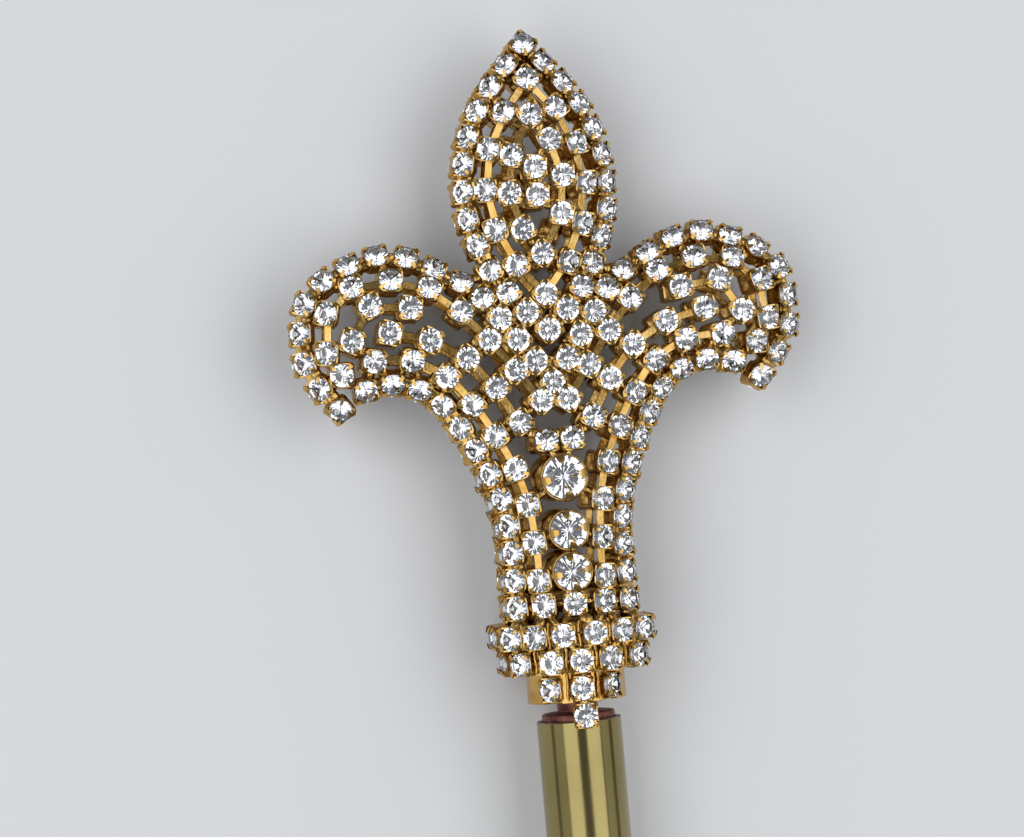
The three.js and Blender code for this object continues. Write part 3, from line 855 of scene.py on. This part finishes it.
def ramp(tree, fac, stops):
    r = tree.nodes.new("ShaderNodeValToRGB")
    el = r.color_ramp.elements
    while len(el) < len(stops):
        el.new(0.5)
    for e, (pos, col) in zip(el, stops):
        e.position = pos
        e.color = (*col, 1)
    tree.links.new(fac, r.inputs["Fac"])
    return r.outputs["Color"]


def remap(tree, fac, lo, hi):
    """Noise mostly lies from 0.3 to 0.7, which this spreads from lo to hi."""
    m = tree.nodes.new("ShaderNodeMapRange")
    m.inputs["From Min"].default_value = 0.3
    m.inputs["From Max"].default_value = 0.7
    m.inputs["To Min"].default_value = lo
    m.inputs["To Max"].default_value = hi
    tree.links.new(fac, m.inputs["Value"])
    return m.outputs["Result"]


def bump(tree, shader, height, strength, distance):
    b = tree.nodes.new("ShaderNodeBump")
    b.inputs["Strength"].default_value = strength
    b.inputs["Distance"].default_value = distance
    tree.links.new(height, b.inputs["Height"])
    tree.links.new(b.outputs["Normal"], shader.inputs["Normal"])


def gold_material():
    mat, tree, shader = nodes_of("gold_plate")
    tone = noise(tree, 260, 2)
    dark, middle, light = (0.49, 0.27, 0.065), (0.58, 0.36, 0.105), (0.65, 0.44, 0.165)
    colour = ramp(tree, tone, [(0.3, dark), (0.5, middle), (0.7, light)])
    tree.links.new(colour, shader.inputs["Base Color"])
    shader.inputs["Metallic"].default_value = 1
    tree.links.new(remap(tree, noise(tree, 1200), 0.14, 0.3), shader.inputs["Roughness"])
    bump(tree, shader, noise(tree, 2600, 2), 0.35, 0.00008)
    return mat


def brass_material():
    mat, tree, shader = nodes_of("tube_brass")
    tone = noise(tree, 60, 3)
    colour = ramp(tree, tone, [(0.3, (0.26, 0.215, 0.085)), (0.7, (0.32, 0.265, 0.11))])
    tree.links.new(colour, shader.inputs["Base Color"])
    shader.inputs["Metallic"].default_value = 1
    scratches = noise(tree, 900, 4, stretch=(1, 0.06, 1))
    tree.links.new(remap(tree, scratches, 0.12, 0.2), shader.inputs["Roughness"])
    bump(tree, shader, scratches, 0.12, 0.00003)
    return mat


def bronze_material():
    mat, tree, shader = nodes_of("plug_bronze")
    tone = noise(tree, 500, 4)
    dark, middle, light = (0.07, 0.025, 0.025), (0.2, 0.065, 0.045), (0.3, 0.12, 0.08)
    colour = ramp(tree, tone, [(0.3, dark), (0.5, middle), (0.7, light)])
    tree.links.new(colour, shader.inputs["Base Color"])
    shader.inputs["Metallic"].default_value = 0.6
    tree.links.new(remap(tree, noise(tree, 900), 0.35, 0.6), shader.inputs["Roughness"])
    bump(tree, shader, noise(tree, 1800, 3), 0.5, 0.0001)
    return mat


def rim_material():
    """The cut end of the tube, stained brown and lilac."""
    mat, tree, shader = nodes_of("tube_rim")
    tone = noise(tree, 700, 4)
    dark, middle, light = (0.1, 0.045, 0.05), (0.26, 0.17, 0.19), (0.42, 0.36, 0.42)
    colour = ramp(tree, tone, [(0.35, dark), (0.55, middle), (0.7, light)])
    tree.links.new(colour, shader.inputs["Base Color"])
    shader.inputs["Metallic"].default_value = 0.8
    tree.links.new(remap(tree, noise(tree, 900), 0.3, 0.5), shader.inputs["Roughness"])
    return mat


def crystal_material():
    mat, tree, shader = nodes_of("crystal")
    shader.inputs["Base Color"].default_value = (0.98, 0.985, 1, 1)
    shader.inputs["Roughness"].default_value = 0
    shader.inputs["IOR"].default_value = 1.56
    shader.inputs["Transmission Weight"].default_value = 1
    return mat


def foil_material():
    mat, tree, shader = nodes_of("foil")
    tone = noise(tree, 700, 2)
    colour = ramp(tree, tone, [(0.3, (0.82, 0.83, 0.88)), (0.7, (0.93, 0.93, 0.96))])
    tree.links.new(colour, shader.inputs["Base Color"])
    shader.inputs["Metallic"].default_value = 1
    shader.inputs["Roughness"].default_value = 0.08
    return mat


gold_mat, brass_mat, bronze_mat = gold_material(), brass_material(), bronze_material()
rim_mat, crystal_mat, foil_mat = rim_material(), crystal_material(), foil_material()


# Pieces


def finish_piece(obj, replaced=None):
    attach(obj, "root")
    if replaced:
        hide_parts(replaced)


def dress(node, builders):
    """The gold, stones and foils of one node; the gold stands in the node's place."""
    gold, stones, foils = builders
    finish_piece(gold.piece(f"{node}_gold", gold_mat, 40), node)
    finish_piece(stones.piece(f"{node}_stones", crystal_mat))
    finish_piece(foils.piece(f"{node}_foils", foil_mat))


dress("head_front", net_builders())
dress("head_back", [b.turned_back() for b in net_builders()])
dress("side_chain_right", chain_builders())
dress("side_chain_left", [b.turned_back() for b in chain_builders()])
dress("collar", collar_builders())

for side in ("front", "back"):
    for i, ((y, radius), place) in enumerate(zip(LARGE_STONES, large_places), 1):
        stone, foil = Builder(), Builder()
        seat = place @ Matrix.Translation((0, 0, LARGE["seat"])) @ Matrix.Rotation(LARGE["turn"], 4, "Z")
        table, pavilion = radius * LARGE["table"], radius * LARGE["pavilion"]
        stone.add(stone_template(radius, table, LARGE["crown"], LARGE["girdle"], pavilion), seat)
        foil.add(foil_template(radius, pavilion), seat)
        if side == "back":
            stone.turned_back()
            foil.turned_back()
        name = f"crystal_{side}_{i}"
        finish_piece(stone.piece(name, crystal_mat), f"large_stone_{side}_{i}")
        finish_piece(foil.piece(f"{name}_foil", foil_mat))


# The handle: bands along the tube keep its faces short

outer, bore, length = TUBE["radius"], TUBE["radius"] - TUBE["wall"], TUBE["length"]
ease_in, ease_out = EASE["inside"], EASE["outside"]
tube = Builder()
tube.add(lathe([
    (bore, -ease_in), (bore, -length + ease_in), (bore + ease_in, -length),
    (outer - ease_out, -length), (outer, -length + ease_out),
    *[(outer, -length + length * k / TUBE_BANDS) for k in range(1, TUBE_BANDS)],
    (outer, -ease_out), (outer - ease_out, 0), (bore + ease_in, 0),
], ROUND["tube"], closed=True))
tube_piece = tube.piece("brass_tube", brass_mat, 30)
tube_piece.data.materials.append(rim_mat)
to_head = TO_ROW.inverted()
for face in tube_piece.data.polygons:
    height = (to_head @ face.center).y
    if height > -STAINED or height < STAINED - length:
        face.material_index = 1
finish_piece(tube_piece, "handle_tube")


def plug_profile():
    """The spigot in the tube and the disc on its end, up to the disc's flat top."""
    spigot, radius, c = bore - SEAM, PLUG["radius"], PLUG["chamfer"]
    top = SEAM + PLUG["lip"]
    return [
        (0, -PLUG["spigot"]), (spigot, -PLUG["spigot"]), (spigot, SEAM), (radius, SEAM),
        (radius, top - c), (radius - c * 0.3, top - c * 0.3), (radius - c, top),
    ]


post, flange, disc_top = POST["radius"], POST["flange"], SEAM + PLUG["lip"]
top = Builder()
top.add(lathe([
    *plug_profile(), (post + EASE["post"], disc_top), (post, disc_top + EASE["post"]),
    (post, POST["flange_from"]), (flange, POST["flange_from"]),
    (flange, POST["flange_to"]), (0, POST["flange_to"]),
], ROUND["fitting"]))
finish_piece(top.piece("top_fitting", bronze_mat, 35), "top_plug")

end = Builder()
end.add(lathe([*plug_profile(), (0, disc_top)], ROUND["fitting"]))
end.verts = [v * [1, -1, -1] - [0, length, 0] for v in end.verts]
finish_piece(end.piece("end_fitting", bronze_mat, 35), "end_plug")


# Floor, light and camera

# The lights stand round the head, at a distance in metres
LIGHTS = {"head": (0, 20, 0), "distance": 1.3, "length": 1.8}
SOFTBOXES = [  # name, degrees from straight up, width, power
    ("softbox_left", -33, 0.9, 8),
    ("softbox_right", 30, 0.9, 8),
    ("fill_left", -68, 0.6, 1.6),
    ("fill_right", 66, 0.6, 1.6),
]
# The camera looks down on the head from the front, a little from the left; its place and
# directions are in the head's frame.
CAMERA = {
    "place": (-71.6, 48.1, 579.9),
    "look": (0.1096, 0.0155, -0.9939),
    "up": (0.0842, 0.9961, 0.0248),
    "lens": 109.3,
}

bpy.ops.mesh.primitive_plane_add(size=8)
floor = bpy.context.object
floor.name = "floor"
floor_mat, floor_tree, floor_shader = nodes_of("pale_floor")
floor_shader.inputs["Base Color"].default_value = (0.84, 0.85, 0.87, 1)
floor_shader.inputs["Roughness"].default_value = 0.9
floor.data.materials.append(floor_mat)

world = bpy.data.worlds.new("studio")
bpy.context.scene.world = world
world.use_nodes = True
world.node_tree.nodes["Background"].inputs["Color"].default_value = (0.9, 0.95, 1, 1)
world.node_tree.nodes["Background"].inputs["Strength"].default_value = 0.18
bpy.context.scene.view_settings.view_transform = "Standard"


def softbox(name, angle, width, power):
    """A long soft light above the sceptre, at an angle from straight up, along the shaft."""
    data = bpy.data.lights.new(name, "AREA")
    data.shape = "RECTANGLE"
    data.size, data.size_y = width, LIGHTS["length"]
    data.energy = power
    obj = bpy.data.objects.new(name, data)
    bpy.context.scene.collection.objects.link(obj)
    target = TO_ROW @ Vector(LIGHTS["head"])
    away = Vector((math.sin(angle), 0, math.cos(angle)))
    shaft = Vector((0, 1, 0))
    turn = Matrix((shaft.cross(away), shaft, away)).transposed()
    obj.matrix_world = Matrix.Translation(target + away * LIGHTS["distance"]) @ turn.to_4x4()


for name, degrees, width, power in SOFTBOXES:
    softbox(name, math.radians(degrees), width, power)

cam_data = bpy.data.cameras.new("camera")
cam_data.sensor_width = 36
cam_data.lens = CAMERA["lens"]
cam_data.clip_start, cam_data.clip_end = 0.05, 20
camera = bpy.data.objects.new("camera", cam_data)
bpy.context.scene.collection.objects.link(camera)
turn = TO_ROW.to_3x3()
look = (turn @ Vector(CAMERA["look"])).normalized()
up = turn @ Vector(CAMERA["up"])
right = look.cross(up).normalized()
up = right.cross(look)
pose = Matrix((right, up, -look)).transposed().to_4x4()
pose.translation = TO_ROW @ Vector(CAMERA["place"])
camera.matrix_world = pose
bpy.context.scene.camera = camera
